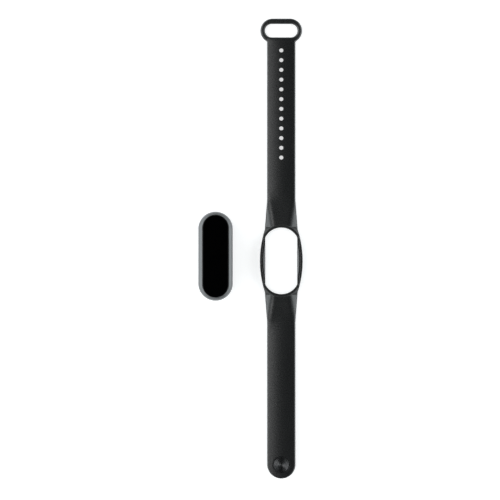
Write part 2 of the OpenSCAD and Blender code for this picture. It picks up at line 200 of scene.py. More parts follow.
def strap_top(x, y):
    """Height of the outer face, before its edges are rounded: flat beside the opening, with facets."""
    x, y = np.abs(x), np.abs(y)
    near = smooth((FACET_END - y) / FACET_FADE)
    rise = np.clip((FLARE_OUT - y) / (FLARE_OUT - OPEN_LEN), 0, 1)
    centre = ARM_T + (SEAT_Z - 0.13 - ARM_T) * rise
    past = soft_max(x - fold_line(y), np.zeros_like(x), 1.5)
    return centre - CROWN * (1 - near) * (x / ARM_HALF) ** 2 - FACET_SLOPE * near * past


def frame_top(x, y, d_in):
    """Outer face round the opening: end rings, side rims and the ledge inside them."""
    x, y = np.abs(x), np.abs(y)
    body = strap_top(x, y)
    ring = 1 - smooth((d_in - RING + 0.1) / 0.4)
    z = body + (SEAT_Z - SINK - body) * ring
    side = smooth((SIDE_END - y) / 3.0)
    ledge = SEAT_Z - SINK - LEDGE_SLOPE * np.clip(LEDGE_W - d_in, 0, LEDGE_W)
    z = z + (ledge - z) * side
    crest = RIM_Z - 0.04 - y ** 2 / (2 * CREST_BOW)
    inner = np.maximum(half_width(y) - CREST_W, CAP_R + 0.12)
    rim = smooth((x - inner) / 0.32) * smooth((CREST_END - y) / 1.6)
    groove = GROOVE * np.exp(-((x - inner + 0.2) / 0.12) ** 2) * side
    return z + (crest - z) * rim - groove


def tilt_tail(v):
    """Turns the drawn arm into the tail: mirrored, and lifted a little by the stud's post."""
    v = v.copy()
    w = smooth((v[:, 1] - CUT) / ((TAIL_LINES[0] + TAIL_LINES[1]) / 2 - CUT))
    a = TILT * w
    dy, dz = v[:, 1] - TAIL_LINES[0], v[:, 2] - LINE_Z
    y = TAIL_LINES[0] + dy * np.cos(a) - dz * np.sin(a)
    z = LINE_Z + dy * np.sin(a) + dz * np.cos(a)
    v[:, 1], v[:, 2] = -y, np.where(v[:, 1] < 30, np.maximum(z, 0), z)
    return v


# ------------------------------------------------------------------ arm pieces
PHI = np.linspace(0, math.pi / 2, 7)
STEPS = 16                      # mesh steps across a cell of the hole column
FLAT_STEPS = 8                  # mesh steps from there to the rounded edge


def half_profile(y, side):
    """Points from the hole column over the edge to the underside, at one station."""
    w = float(half_width(y))
    inner = np.linspace(CELL, w - EDGE, FLAT_STEPS + 1)[:-1]
    bend = w - EDGE + EDGE * np.sin(PHI)
    x = np.concatenate([inner, bend])
    z = strap_top(x, np.full_like(x, y)) - np.concatenate([inner * 0, EDGE * (1 - np.cos(PHI))])
    r = UNDER_EDGE
    xb = np.concatenate([w - r + r * np.cos(PHI), np.linspace(w - r, CELL, 7)[1:]])
    zb = np.concatenate([r * (1 - np.sin(PHI)), np.zeros(6)])
    x, z = np.concatenate([x, xb]), np.concatenate([z, zb])
    return np.stack([side * x, np.full_like(x, y), z], -1)


def stations(y0, y1):
    """Stations along the arm; they fall on the borders of the hole cells."""
    borders = [HOLE_FIRST + CELL * (2 * k - 1) for k in range(HOLES + 1)]
    return [y0] + [b for b in borders if y0 + 1e-6 < b < y1 - 1e-6] + [y1]


def plain_cell(p, y0, y1):
    """The middle column between two stations, without a hole."""
    gx, gy = np.meshgrid(np.linspace(-CELL, CELL, STEPS + 1), np.linspace(y0, y1, STEPS + 1))
    for height, flip in ((strap_top(gx, gy), False), (np.zeros_like(gx), True)):
        p.grid(np.stack([gx, gy, height], -1), flip)


def hole_cell(p, yc, y0, y1, rings=6):
    """The middle column between two stations, with a round hole that has softly rounded lips."""
    n = STEPS
    s = np.linspace(-1, 1, n + 1)
    border = np.concatenate([
        np.stack([s[:-1], -np.ones(n)], -1), np.stack([np.ones(n), s[:-1]], -1),
        np.stack([-s[:-1], np.ones(n)], -1), np.stack([-np.ones(n), -s[:-1]], -1)])
    sq = border * CELL
    sq[:, 1] = yc + border[:, 1] * np.where(border[:, 1] > 0, y1 - yc, yc - y0)
    ang = np.arctan2(border[:, 1], border[:, 0])
    circ = np.stack([np.cos(ang), np.sin(ang)], -1)
    top_rows, bot_rows = [], []
    for k in range(rings + 1):
        u = (k / rings) ** 0.8
        q = sq * (1 - u) + (np.array([0, yc]) + circ * (HOLE_R + HOLE_LIP)) * u
        top_rows.append(np.stack([q[:, 0], q[:, 1], strap_top(q[:, 0], q[:, 1])], -1))
        bot_rows.append(np.stack([q[:, 0], q[:, 1], 0 * q[:, 0]], -1))
    for a in PHI[1:]:
        r = HOLE_R + HOLE_LIP * (1 - math.sin(a))
        q = np.array([0, yc]) + circ * r
        drop = HOLE_LIP * (1 - math.cos(a))
        top_rows.append(np.stack([q[:, 0], q[:, 1], strap_top(q[:, 0], q[:, 1]) - drop], -1))
        bot_rows.append(np.stack([q[:, 0], q[:, 1], 0 * q[:, 0] + drop], -1))
    middle = top_rows[-1][:, 2] * 0.5 + bot_rows[-1][:, 2] * 0.5
    top_rows.append(np.stack([*(bot_rows[-1][:, :2].T), middle], -1))
    p.grid(np.array(top_rows + bot_rows[::-1]), wrap=True)


def arm_piece(name, y0, y1, holes, move=None):
    """One closed length of arm from y0 to y1, with any holes that fall in it."""
    p = Patches()
    marks = stations(y0, y1) if holes else [y0, y1]
    centres = [HOLE_FIRST + k * HOLE_PITCH for k in range(HOLES)]
    room = HOLE_R + 0.3
    for a, b in zip(marks, marks[1:]):
        for side in (1, -1):
            rows = np.array([half_profile(y, side) for y in np.linspace(a, b, STEPS + 1)])
            p.grid(rows, side < 0)
        hit = [c for c in centres if a - 1e-6 < c - room and c + room < b + 1e-6]
        if holes and hit:
            hole_cell(p, hit[0], a, b)
        else:
            plain_cell(p, a, b)
    # close both ends with a flat wall from top to bottom
    for y in (y0, y1):
        for side in (1, -1):
            prof = half_profile(y, side)
            k = FLAT_STEPS + len(PHI)
            up, low = prof[:k], prof[k:][::-1]
            s, place = np.linspace(0, 1, len(up)), np.linspace(0, 1, len(low))
            fit = np.stack([np.interp(s, place, low[:, c]) for c in range(3)], -1)
            p.grid(np.array([up, fit]), side < 0)
        xs = np.linspace(-CELL, CELL, STEPS + 1)
        t = strap_top(xs, np.full_like(xs, y))
        p.grid(np.array([np.stack([xs, xs * 0 + y, t], -1), np.stack([xs, xs * 0 + y, xs * 0], -1)]))
    return p.build(name, move)


def resample(pts, n):
    """n points at even distances along a polyline, without its last point."""
    pts = np.asarray(pts, float)
    d = np.concatenate([[0], np.cumsum(np.hypot(*np.diff(pts, axis=0).T))])
    s = np.linspace(0, d[-1], n + 1)[:-1]
    return np.stack([np.interp(s, d, pts[:, 0]), np.interp(s, d, pts[:, 1])], -1)


def ring_steps(width, r, inner_r, n):
    """Fractions across a band: fine over both rounded borders, even between."""
    out = r * (1 - np.sin(PHI[::-1]))
    inn = width - inner_r * (1 - np.sin(PHI))
    mid = np.linspace(r, width - inner_r, n + 2)[1:-1]
    return np.concatenate([out, mid, inn]) / width


def border_distance(q, path, closed=True):
    """Distance from each point to a polyline."""
    a = path
    b = np.roll(path, -1, axis=0)
    if not closed:
        a, b = path[:-1], path[1:]
    ab = b - a
    l2 = np.maximum((ab ** 2).sum(1), 1e-12)
    best = np.full(len(q), 1e9)
    for k in range(len(a)):
        t = np.clip(((q - a[k]) @ ab[k]) / l2[k], 0, 1)
        d = np.hypot(*(q - a[k] - t[:, None] * ab[k]).T)
        best = np.minimum(best, d)
    return best


def band(p, outer, inner, steps, top, bottom):
    """A closed flat ring between two outlines, with its upper and lower heights."""
    rows_t, rows_b = [], []
    for k in range(len(steps[0])):
        u = steps[:, k][:, None]
        q = outer * (1 - u) + inner * u
        rows_t.append(np.column_stack([q, top(q)]))
        rows_b.append(np.column_stack([q, bottom(q)]))
    rows_t, rows_b = np.array(rows_t), np.array(rows_b)
    p.grid(rows_t, wrap=True)
    p.grid(rows_b, True, wrap=True)
    p.grid(np.array([rows_t[0], rows_b[0]]), True, wrap=True)
    p.grid(np.array([rows_t[-1], rows_b[-1]]), wrap=True)


# ------------------------------------------------------------------ frame piece
def opening_path(n_side, n_end):
    """Right side, from bottom to top, and upper end of the opening's outline."""
    corner_x = 5.5              # where the side stops and the end begins
    cy = OPEN_LEN - OPEN_R
    th_c = math.acos(corner_x / OPEN_R)
    th_s = math.acos(OPEN_HALF / OPEN_R)
    arc = np.linspace(th_s, th_c, 60)
    up = np.stack([OPEN_R * np.cos(arc), cy + OPEN_R * np.sin(arc)], -1)
    y_s = cy + OPEN_R * math.sin(th_s)
    straight = np.stack([np.full(400, OPEN_HALF), np.linspace(-y_s, y_s, 400)], -1)
    right = np.concatenate([up[::-1] * [1, -1], straight, up])
    # soften the corner where side and end meet
    for _ in range(110):
        right[1:-1] = (right[:-2] + right[1:-1] * 2 + right[2:]) / 4
    end = np.linspace(th_c, math.pi - th_c, 100)
    top = np.stack([OPEN_R * np.cos(end), cy + OPEN_R * np.sin(end)], -1)
    return resample(right, n_side), resample(top, n_end)


def frame_piece():
    """The frame round the opening, up to where the arms take over."""
    n_side, n_end = 220, 60
    right_in, top_in = opening_path(n_side, n_end)
    ys = np.linspace(-CUT, CUT, 500)
    right_out = resample(np.stack([half_width(ys), ys], -1), n_side)
    w = float(half_width(CUT))
    # the seam row must match the first arm row, so it uses the same spacing
    xs = np.linspace(w, -w, n_end + 1)[:-1]
    top_out = np.stack([xs, 0 * xs + CUT], -1)
    outer = np.concatenate([right_out, top_out, -right_out, -top_out])
    inner = np.concatenate([right_in, top_in, -right_in, -top_in])
    width = np.hypot(*(outer - inner).T)
    open_edge = 0.3
    steps = np.array([ring_steps(d, min(EDGE, 0.3 * d), min(open_edge, 0.25 * d), 30) for d in width])
    path = np.concatenate([right_out, [[w, CUT]]])
    quarter = np.abs(path[len(path) // 2:])

    def top(q):
        d_out = border_distance(np.abs(q), quarter, closed=False)
        d_in = border_distance(q, inner)
        edge = EDGE - 0.28 * smooth((15.0 - np.abs(q[:, 1])) / 3.0)
        return frame_top(q[:, 0], q[:, 1], d_in) - roll(d_out, edge) - roll(d_in, open_edge)

    def bottom(q):
        d_out = border_distance(np.abs(q), quarter, closed=False)
        return roll(d_out, UNDER_EDGE) + roll(border_distance(q, inner), 0.4)

    p = Patches()
    band(p, outer, inner, steps, top, bottom)
    return p.build("strap_frame_skin")


# ------------------------------------------------------------------ loop end
def stadium(half_w, half_l, yc, n):
    """Outline of a long round-ended slot, counter-clockwise from its right end."""
    run = half_w - half_l
    a = np.linspace(-math.pi / 2, math.pi / 2, 200)
    r = np.stack([run + half_l * np.cos(a), half_l * np.sin(a)], -1)
    return resample(np.concatenate([r, -r, r[:1]]) + [0, yc], n)


def loop_piece(y0):
    """The loop with its slot, from y0 to the loop's tip."""
    yc = LOOP_TIP - LOOP_LEN / 2
    r_out, r_fil = LOOP_LEN / 2, FILLET_R
    run = LOOP_HALF - r_out
    # outer outline from the seam's right end, up the fillet, round the loop, back down
    fx = ARM_HALF + r_fil
    fy = yc - math.sqrt((r_out + r_fil) ** 2 - (fx - run) ** 2)
    end = math.atan2(yc - fy, run - fx)
    a = np.linspace(math.pi, end if end > 0 else end + 2 * math.pi, 60)
    fil = np.stack([fx + r_fil * np.cos(a), fy + r_fil * np.sin(a)], -1)
    b0 = math.atan2(fy - yc, fx - run)
    b = np.linspace(b0, math.pi / 2, 240)
    big = np.stack([run + r_out * np.cos(b), yc + r_out * np.sin(b)], -1)
    right = np.concatenate([[[ARM_HALF, y0]], fil, big, [[0, LOOP_TIP]]])
    n_r, n_c = 150, 48
    right_o = resample(right, n_r)
    left_o = resample((right * [-1, 1])[::-1], n_r)
    xs = np.linspace(-ARM_HALF, ARM_HALF, n_c + 1)[:-1]
    seam = np.stack([xs, xs * 0 + y0], -1)
    outer = np.concatenate([right_o, left_o, seam])
    slot = stadium(SLOT_HALF, SLOT_LEN / 2, yc, 2400)
    # matching points on the slot, in order round its centre and split under the arm at seam_x
    seam_x = 5.0
    order = np.concatenate([slot[slot[:, 0] >= 0], slot[slot[:, 0] < 0]])
    key = np.arctan2(order[:, 1] - yc, order[:, 0])
    order = order[np.argsort(key)]
    start = np.argmin(np.hypot(order[:, 0] - seam_x, order[:, 1] - (yc - SLOT_LEN / 2)))
    order = np.roll(order, -start, axis=0)
    tip = np.argmin(np.hypot(order[:, 0], order[:, 1] - (yc + SLOT_LEN / 2)))
    back = np.argmin(np.hypot(order[:, 0] + seam_x, order[:, 1] - (yc - SLOT_LEN / 2)))
    inner = np.concatenate([
        resample(order[:tip + 1], n_r), resample(order[tip:back + 1], n_r),
        resample(np.concatenate([order[back:], order[:1]]), n_c)])
    width = np.hypot(*(outer - inner).T)
    fine = np.minimum(0.75, 0.33 * width)
    steps = np.array([ring_steps(d, r, r, 7) for d, r in zip(width, fine)])
    wall = np.concatenate([right, (right * [-1, 1])[::-1]])
    wall = wall[np.linspace(0, len(wall) - 1, 400).astype(int)]
    arms = np.array([[ARM_HALF, y0 - 4], [ARM_HALF, y0]])

    def drop(q, r):
        d = np.minimum(border_distance(q, wall, closed=False),
                       border_distance(np.abs(q * [1, 0]) + q * [0, 1], arms, closed=False))
        return roll(d, r) + roll(border_distance(q, inner[::2]), r)

    def top(q):
        k = smooth((q[:, 1] - y0) / 9.0)
        plain = strap_top(np.clip(q[:, 0], -ARM_HALF, ARM_HALF), q[:, 1])
        edge = EDGE + 0.35 * smooth((q[:, 1] - y0 - 1) / 3)
        return plain * (1 - k) + (ARM_T - 0.05) * k - drop(q, edge)

    def bottom(q):
        return drop(q, UNDER_EDGE)

    p = Patches()
    band(p, outer, inner, steps, top, bottom)
    return p.build("strap_loop_skin")


# ------------------------------------------------------------------ tail end
def tail_piece(y0):
    """The rounded end of the tail, with the stud's recess and bore."""
    yc = TAIL_TIP - ARM_HALF
    a = np.linspace(0, math.pi, 300)
    cap = np.stack([ARM_HALF * np.cos(a), yc + ARM_HALF * np.sin(a)], -1)
    right = np.concatenate([[[ARM_HALF, y0]], cap[:150]])
    n_r, n_c = 90, 40
    right_o = resample(np.concatenate([right, [[0, TAIL_TIP]]]), n_r)
    left = np.concatenate([[[0, TAIL_TIP]], cap[150:], [[-ARM_HALF, y0]]])
    left_o = resample(left, n_r)
    xs = np.linspace(-ARM_HALF, ARM_HALF, n_c + 1)[:-1]
    outer = np.concatenate([right_o, left_o, np.stack([xs, xs * 0 + y0], -1)])
    ang = np.arctan2(outer[:, 1] - STUD_AT, outer[:, 0])
    circ = np.stack([np.cos(ang), np.sin(ang)], -1)
    ctr = np.array([0, STUD_AT])
    wall = np.concatenate([[[ARM_HALF, y0 - 3]], right, left, [[-ARM_HALF, y0 - 3]]])
    wall = wall[np.unique(np.linspace(0, len(wall) - 1, 260).astype(int))]
    recess_edge, bore_edge = 0.2, 0.15

    def top(q):
        r = np.hypot(*(q - ctr).T)
        edge = roll(border_distance(q, wall, closed=False), EDGE)
        return strap_top(q[:, 0], q[:, 1]) - edge - roll(r - RECESS_R, recess_edge)

    def bottom(q):
        r = np.hypot(*(q - ctr).T)
        return roll(border_distance(q, wall, closed=False), UNDER_EDGE) + roll(r - BORE_R, bore_edge)

    def rings(radius, outer_edge, inner_edge, height):
        """Rows from the outline in to a circle round the stud."""
        inner = ctr + circ * radius
        width = np.hypot(*(outer - inner).T)
        steps = np.array([ring_steps(d, outer_edge, inner_edge, 10) for d in width])
        rows = []
        for u in steps.T[:, :, None]:
            q = outer * (1 - u) + inner * u
            rows.append(np.column_stack([q, height(q)]))
        return rows

    p = Patches()
    rows = rings(RECESS_R, EDGE, recess_edge, top)
    floor = ARM_T - 0.55
    for r, z in ((RECESS_R, floor + 0.12), (RECESS_R - 0.12, floor), (2.5, floor), (BORE_R, floor)):
        q = ctr + circ * r
        rows.append(np.column_stack([q, np.full(len(q), z)]))
    rows_b = rings(BORE_R, UNDER_EDGE, bore_edge, bottom)
    p.grid(np.array(rows + rows_b[::-1]), wrap=True)
    p.grid(np.array([rows[0], rows_b[0]]), True, wrap=True)
    return p.build("tail_end_skin", tilt_tail)


def point(y, tail=False):
    """A point on the strap's middle line, in the row frame."""
    v = np.array([[0.0, y, LINE_Z]])
    if tail:
        v = tilt_tail(v)
    return tuple(v[0] * MM)


skins = []
frame_skin = frame_piece()
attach(frame_skin, "strap_frame")
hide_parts("strap_frame")
skins.append(frame_skin)


def arm_chain(lines, names, tail):
    """One piece for each line, from mid segment to mid segment, and the tip."""
    ends = [CUT] + [(a + b) / 2 for a, b in zip(lines, lines[1:])]
    tag = "tail" if tail else "loop"
    move = tilt_tail if tail else None
    for i in range(len(lines)):
        a = ends[i]
        final = i == len(lines) - 1
        if not final:
            stop = bend_end = ends[i + 1]
        elif tail:
            stop, bend_end = lines[-1], lines[-1] + TAIL_BEND
        else:
            stop, bend_end = HOLE_FIRST + HOLE_PITCH * (HOLES - 1) + CELL, LOOP_BEND_END
        ob = arm_piece(f"{tag}_skin_{i + 1:02d}", a, stop, not tail, move)
        point(a, tail)
        point(bend_end, tail)
        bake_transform(ob)
        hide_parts(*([names[i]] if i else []))
        skins.append(ob)
        if final:
            tip = tail_piece(stop) if tail else loop_piece(stop)
            point(a, tail)
            point(bend_end, tail)
            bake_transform(tip)
            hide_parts(names[i + 1])
            skins.append(tip)


loop_names = ["strap_frame"] + [f"loop_arm_{k:02d}" for k in range(1, 11)] + ["strap_loop"]
tail_names = ["strap_frame"] + [f"tail_arm_{k:02d}" for k in range(1, 10)] + ["tail_tip"]
arm_chain(LOOP_LINES, loop_names, False)
arm_chain(TAIL_LINES, tail_names, True)


# ------------------------------------------------------------------ capsule, stud and window skins
GLASS_SEAT_Z = 11.8             # where the rim meets the glass
SEAT_R = GLASS_R + 0.06         # edge of the rim round the glass


def pill_rows(profile, n=72, straight=10):
    """Rings of a round-ended block from [radius, height, straight length] entries."""
    a = np.linspace(-math.pi / 2, math.pi / 2, 2 * n + 1)
    c, s = np.cos(a), np.sin(a)
    side = np.linspace(-1, 1, straight + 1)
    rows = []
    for r, z, run in profile:
        right = np.concatenate([
            np.stack([r * c[:n], -run / 2 + r * s[:n]], -1),
            np.stack([0 * side + r, side * run / 2], -1),
            np.stack([r * c[n + 1:], run / 2 + r * s[n + 1:]], -1)])
        ring = np.concatenate([right[:-1], -right[:-1]])
        rows.append(np.column_stack([ring + CAP, np.full(len(ring), z)]))
    return np.array(rows)


def ease(points, n=6):
    """Rounds the corners of a profile by cutting them repeatedly."""
    pts = [np.array(p, float) for p in points]
    for _ in range(n):
        out = [pts[0]]
        for a, b in zip(pts, pts[1:]):
            out += [a * 0.75 + b * 0.25, a * 0.25 + b * 0.75]
        out.append(pts[-1])
        pts = out
    return np.array(pts)


def corner(a, b, c, r, n=7):
    """Round corner at b between a and c."""
    a, b, c = (np.array(p, float) for p in (a, b, c))
    u, v = (a - b) / np.hypot(*(a - b)), (c - b) / np.hypot(*(c - b))
    half = math.acos(max(-1, min(1, float(u @ v)))) / 2
    d = r / math.tan(half)
    t = np.linspace(0, 1, n)[:, None]
    p0, p1 = b + u * d, b + v * d
    m = b + (u + v) / np.hypot(*(u + v)) * (r / math.sin(half) - r)
    q = (1 - t) ** 2 * p0 + 2 * t * (1 - t) * (2 * m - (p0 + p1) / 2) + t ** 2 * p1
    return [tuple(x) for x in q]


def round_profile(points, radii):
    """A profile with the corner at each inner point rounded to its radius."""
    out = [tuple(points[0])]
    for i in range(1, len(points) - 1):
        if radii[i] > 0:
            out += corner(points[i - 1], points[i], points[i + 1], radii[i])
        else:
            out.append(tuple(points[i]))
    return out + [tuple(points[-1])]


def housing_skin():
    """The capsule's side and its sloped rim up to the glass, with the seat under the glass."""
    r = CAP_R
    rim_pts = [(r - 0.6, FLANGE_Z), (r, FLANGE_Z + 0.7), (r, 9.25), (r - 0.42, 10.5),
               (GLASS_R + 0.3, GLASS_SEAT_Z - 0.02), (SEAT_R, GLASS_SEAT_Z)]
    rim = round_profile(rim_pts, [0, 0.5, 1.4, 1.3, 0.16, 0])
    rows = pill_rows([(q[0], q[1], CAP_RUN) for q in rim[:-1]])
    lip = pill_rows([(SEAT_R, GLASS_SEAT_Z, GLASS_RUN)])[0]
    rel = lip[:, :2] - CAP
    rel[:, 1] -= np.clip(rel[:, 1], -CAP_RUN / 2, CAP_RUN / 2)
    d = np.hypot(*rel.T)
    radii = np.array([q[0] for q in rim])[::-1]
    heights = np.array([q[1] for q in rim])[::-1]
    # rings that would fall inside the glass seat move out to its edge
    lip3 = np.column_stack([lip[:, :2], np.interp(d, radii, heights)])
    for row in rows:
        g = row[:, :2] - CAP
        g[:, 1] -= np.clip(g[:, 1], -GLASS_RUN / 2, GLASS_RUN / 2)
        inside = (np.hypot(*g.T) < SEAT_R) & (row[:, 2] > 9)
        row[inside] = lip3[inside]
    shelf_r, shelf_z, shelf_under, wall = 6.4, 11.0, 10.6, 1.05
    seat = pill_rows([
        (GLASS_R + 0.05, shelf_z, GLASS_RUN), (shelf_r, shelf_z, CAP_RUN), (shelf_r, shelf_under, CAP_RUN),
        (r - wall, shelf_under, CAP_RUN), (r - wall, FLANGE_Z, CAP_RUN)])
    p = Patches()
    p.grid(np.concatenate([rows, [lip3], seat, rows[:1]]), wrap=True)
    return p.build("upper_housing_skin", sharp=32)


def glass_skin():
    """The cover glass: a curved border 0.4 mm wide round a very slightly domed face."""
    border, border_z, dome = 0.4, 11.76, 0.015
    top = []
    for t in np.linspace(0, 1, 22):
        x = t * border
        rise = (1 - (1 - t) ** 2.6) ** 0.62
        top.append((GLASS_R - x, border_z + (CAP_TOP - dome - border_z) * rise, GLASS_RUN))
    under = 11.15
    prof = [(0, under, GLASS_RUN), (GLASS_R - 0.05, under, GLASS_RUN), (GLASS_R, 11.2, GLASS_RUN),
            (GLASS_R, 11.6, GLASS_RUN)] + top
    prof += [(r, CAP_TOP - dome + dome * (1 - r / 6.1), GLASS_RUN) for r in (5.2, 4.2, 3.0, 1.8, 0.9, 0)]
    p = Patches()
    p.grid(pill_rows(prof), wrap=True)
    return p.build("cover_glass_skin", sharp=50)


def lathe(name, profile, centre, move=None, n=160, sharp=30):
    """A turned piece from [radius, height] points about a vertical line."""
    a = np.linspace(0, 2 * math.pi, n + 1)[:-1]
    c, s = np.cos(a), np.sin(a)
    rows = [np.stack([centre[0] + r * c, centre[1] + r * s, 0 * a + z], -1) for r, z in profile]
    p = Patches()
    p.grid(np.array(rows), wrap=True)
    return p.build(name, move, sharp=sharp)


def stud_skins():
    """The stud's cap with its turned face, and the post with its rounded head."""
    r, z0 = STUD_R, ARM_T - 0.5
    face = z0 + 0.70
    pts = [(0, z0), (r - 0.1, z0), (r - 0.02, z0 + 0.08), (r - 0.02, face - 0.11), (r - 0.04, face - 0.05),
           (r - 0.08, face - 0.015), (r - 0.14, face)]
    # turned face: very shallow rings, slightly dished to the middle
    dish, groove, pitch = 0.05, 0.004, 0.155
    for x in np.linspace(r - 0.2, 0.0, 160):
        pts.append((x, face - dish * (1 - x / r) ** 2 + groove * math.sin(x * 2 * math.pi / pitch)))
    cap = lathe("stud_cap_skin", pts, (0, STUD_AT), tilt_tail, 192, 24)
    post = ease([(0, ARM_T - 0.52), (0.84, ARM_T - 0.52), (0.84, ARM_T - 0.6), (0.84, -2.2), (0.86, -2.48),
                 (1.2, -2.58), (1.22, -2.82), (0.9, -2.93), (0.45, -2.985), (0, -2.99)], 3)
    return cap, lathe("stud_post_skin", [tuple(q) for q in post], (0, STUD_AT), tilt_tail, 96)


housing = housing_skin()
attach(housing, "capsule")
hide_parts("upper_housing")
glass = glass_skin()
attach(glass, "capsule")
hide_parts("cover_glass")
cap_disc, post = stud_skins()
for ob, node in ((cap_disc, "stud_cap"), (post, "stud_post")):
    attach(ob, "stud")
    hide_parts(node)
window = lathe("sensor_window_skin", round_profile(
    [(0, 0.02), (3.9, 0.02), (5.0, 0.28), (5.55, 0.8), (5.55, 1.66), (0, 1.66)],
    [0, 0.5, 0.8, 0.3, 0.05, 0]), CAP, sharp=30)
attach(window, "capsule")
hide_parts("sensor_window")


# ------------------------------------------------------------------ materials
def material(name, color, rough, metal=0.0):
    """A new material with its node tree and its main shader."""
    m = bpy.data.materials.new(name)
    m.use_nodes = True
    b = m.node_tree.nodes["Principled BSDF"]
    b.inputs["Base Color"].default_value = (*color, 1)
    b.inputs["Roughness"].default_value = rough
    b.inputs["Metallic"].default_value = metal
    return m, m.node_tree, b


def node(tree, kind, **values):
    """A new node with its properties or inputs set by name."""
    n = tree.nodes.new(kind)
    for k, v in values.items():
        if hasattr(n, k):
            setattr(n, k, v)
        else:
            n.inputs[k].default_value = v
    return n


def coords(tree):
    """Position on the piece, in metres."""
    return node(tree, "ShaderNodeTexCoord").outputs["Object"]


def noise(tree, scale, detail=3.0, rough=0.5, vector=None):
    """Noise of a given fineness over the piece."""
    n = node(tree, "ShaderNodeTexNoise")
    n.inputs["Scale"].default_value = scale
    n.inputs["Detail"].default_value = detail
    n.inputs["Roughness"].default_value = rough
    tree.links.new(vector or coords(tree), n.inputs["Vector"])
    return n.outputs["Fac"]


def remap(tree, value, lo, hi, a=0.0, b=1.0):
    """Spreads a value's range from a to b over lo to hi."""
    n = node(tree, "ShaderNodeMapRange")
    n.inputs["From Min"].default_value = a
    n.inputs["From Max"].default_value = b
    n.inputs["To Min"].default_value = lo
    n.inputs["To Max"].default_value = hi
    tree.links.new(value, n.inputs["Value"])
    return n.outputs["Result"]


def mix_color(tree, fac, a, b):
    """A tone between two colours."""
    n = node(tree, "ShaderNodeMix", data_type="RGBA")
    tree.links.new(fac, n.inputs["Factor"])
    ins = [i for i in n.inputs if i.type == "RGBA"]
    ins[0].default_value, ins[1].default_value = (*a, 1), (*b, 1)
    return [o for o in n.outputs if o.type == "RGBA"][0]


def bump(tree, bsdf, height, strength, distance, bevel=0.0):
    """Fine relief on a shader, over softened edges where bevel is more than 0."""
    n = node(tree, "ShaderNodeBump")
    n.inputs["Strength"].default_value = strength
    n.inputs["Distance"].default_value = distance
    tree.links.new(height, n.inputs["Height"])
    if bevel:
        e = node(tree, "ShaderNodeBevel", samples=6)
        e.inputs["Radius"].default_value = bevel
        tree.links.new(e.outputs["Normal"], n.inputs["Normal"])
    tree.links.new(n.outputs["Normal"], bsdf.inputs["Normal"])


def surface(name, dark, light, rough, spread, metal=0.0, grain=6000, relief=0.00002, patch=900,
            bevel=0.00008):
    """A solid finish with uneven tone and roughness, fine grain and softened edges."""
    m, t, b = material(name, light, rough, metal)
    broad = noise(t, patch, 4)
    t.links.new(mix_color(t, remap(t, broad, 0, 1, 0.35, 0.65), dark, light), b.inputs["Base Color"])
    t.links.new(remap(t, noise(t, patch * 2.3, 5, 0.6), rough - spread, rough + spread, 0.3, 0.7),
                b.inputs["Roughness"])
    bump(t, b, noise(t, grain, 2), 0.35, relief, bevel)
    return m


def silicone():
    """Black rubber with a faint sheen of gloss and a fine grain."""
    m, t, b = material("strap_rubber", (0.0072, 0.0076, 0.0078), 0.28)
    xyz = coords(t)
    broad = noise(t, 90, 3, 0.5, xyz)
    mottle = noise(t, 1400, 3, 0.6, xyz)
    t.links.new(mix_color(t, remap(t, broad, 0, 1, 0.35, 0.65), (0.0058, 0.0062, 0.0064),
                          (0.0072, 0.0076, 0.0078)), b.inputs["Base Color"])
    t.links.new(remap(t, mottle, 0.265, 0.295, 0.3, 0.7), b.inputs["Roughness"])
    grain = noise(t, 9000, 2, 0.5, xyz)
    bump(t, b, grain, 0.25, 0.000012)
    b.inputs["Specular IOR Level"].default_value = 0.80
    return m


def black_glass():
    """Printed-black cover glass with uneven wipe marks in its gloss."""
    m, t, b = material("cover_glass", (0.0004, 0.0004, 0.0005), 0.06)
    smear = noise(t, 260, 4, 0.6)
    t.links.new(remap(t, smear, 0.035, 0.085, 0.35, 0.7), b.inputs["Roughness"])
    b.inputs["IOR"].default_value = 1.42
    bump(t, b, noise(t, 120, 1), 0.02, 0.00001)
    return m


def graphite():
    """Grey metallic lacquer with a fine fleck."""
    m, t, b = material("housing_plastic", (0.216, 0.221, 0.226), 0.34, 0.9)
    fleck = noise(t, 12000, 2)
    t.links.new(mix_color(t, remap(t, fleck, 0, 1, 0.4, 0.62), (0.182, 0.187, 0.191),
                          (0.216, 0.221, 0.226)), b.inputs["Base Color"])
    t.links.new(remap(t, noise(t, 1500, 4, 0.6), 0.30, 0.38, 0.3, 0.7), b.inputs["Roughness"])
    bump(t, b, noise(t, 15000, 2), 0.15, 0.00001)
    return m


def spun_metal():
    """Dark turned metal: rings round the stud's axis, and highlights drawn out across them."""
    m, t, b = material("stud_metal", (0.154, 0.154, 0.158), 0.28, 1.0)
    sub = node(t, "ShaderNodeVectorMath", operation="SUBTRACT")
    sub.inputs[1].default_value = (lo_s + hi_s) / 2
    t.links.new(coords(t), sub.inputs[0])
    length = node(t, "ShaderNodeVectorMath", operation="LENGTH")
    t.links.new(sub.outputs["Vector"], length.inputs[0])
    rings = node(t, "ShaderNodeTexNoise", noise_dimensions="1D")
    rings.inputs["Scale"].default_value = 9000
    rings.inputs["Detail"].default_value = 3
    t.links.new(length.outputs["Value"], rings.inputs["W"])
    t.links.new(remap(t, rings.outputs["Fac"], 0.2, 0.38, 0.3, 0.7), b.inputs["Roughness"])
    t.links.new(mix_color(t, remap(t, rings.outputs["Fac"], 0, 1, 0.3, 0.7), (0.077, 0.077, 0.079),
                          (0.154, 0.154, 0.158)), b.inputs["Base Color"])
    tangent = node(t, "ShaderNodeTangent", direction_type="RADIAL", axis="Z")
    t.links.new(tangent.outputs["Tangent"], b.inputs["Tangent"])
    b.inputs["Anisotropic"].default_value = 0.9
    b.inputs["Anisotropic Rotation"].default_value = 0.25
    bump(t, b, rings.outputs["Fac"], 0.3, 0.00002)
    return m


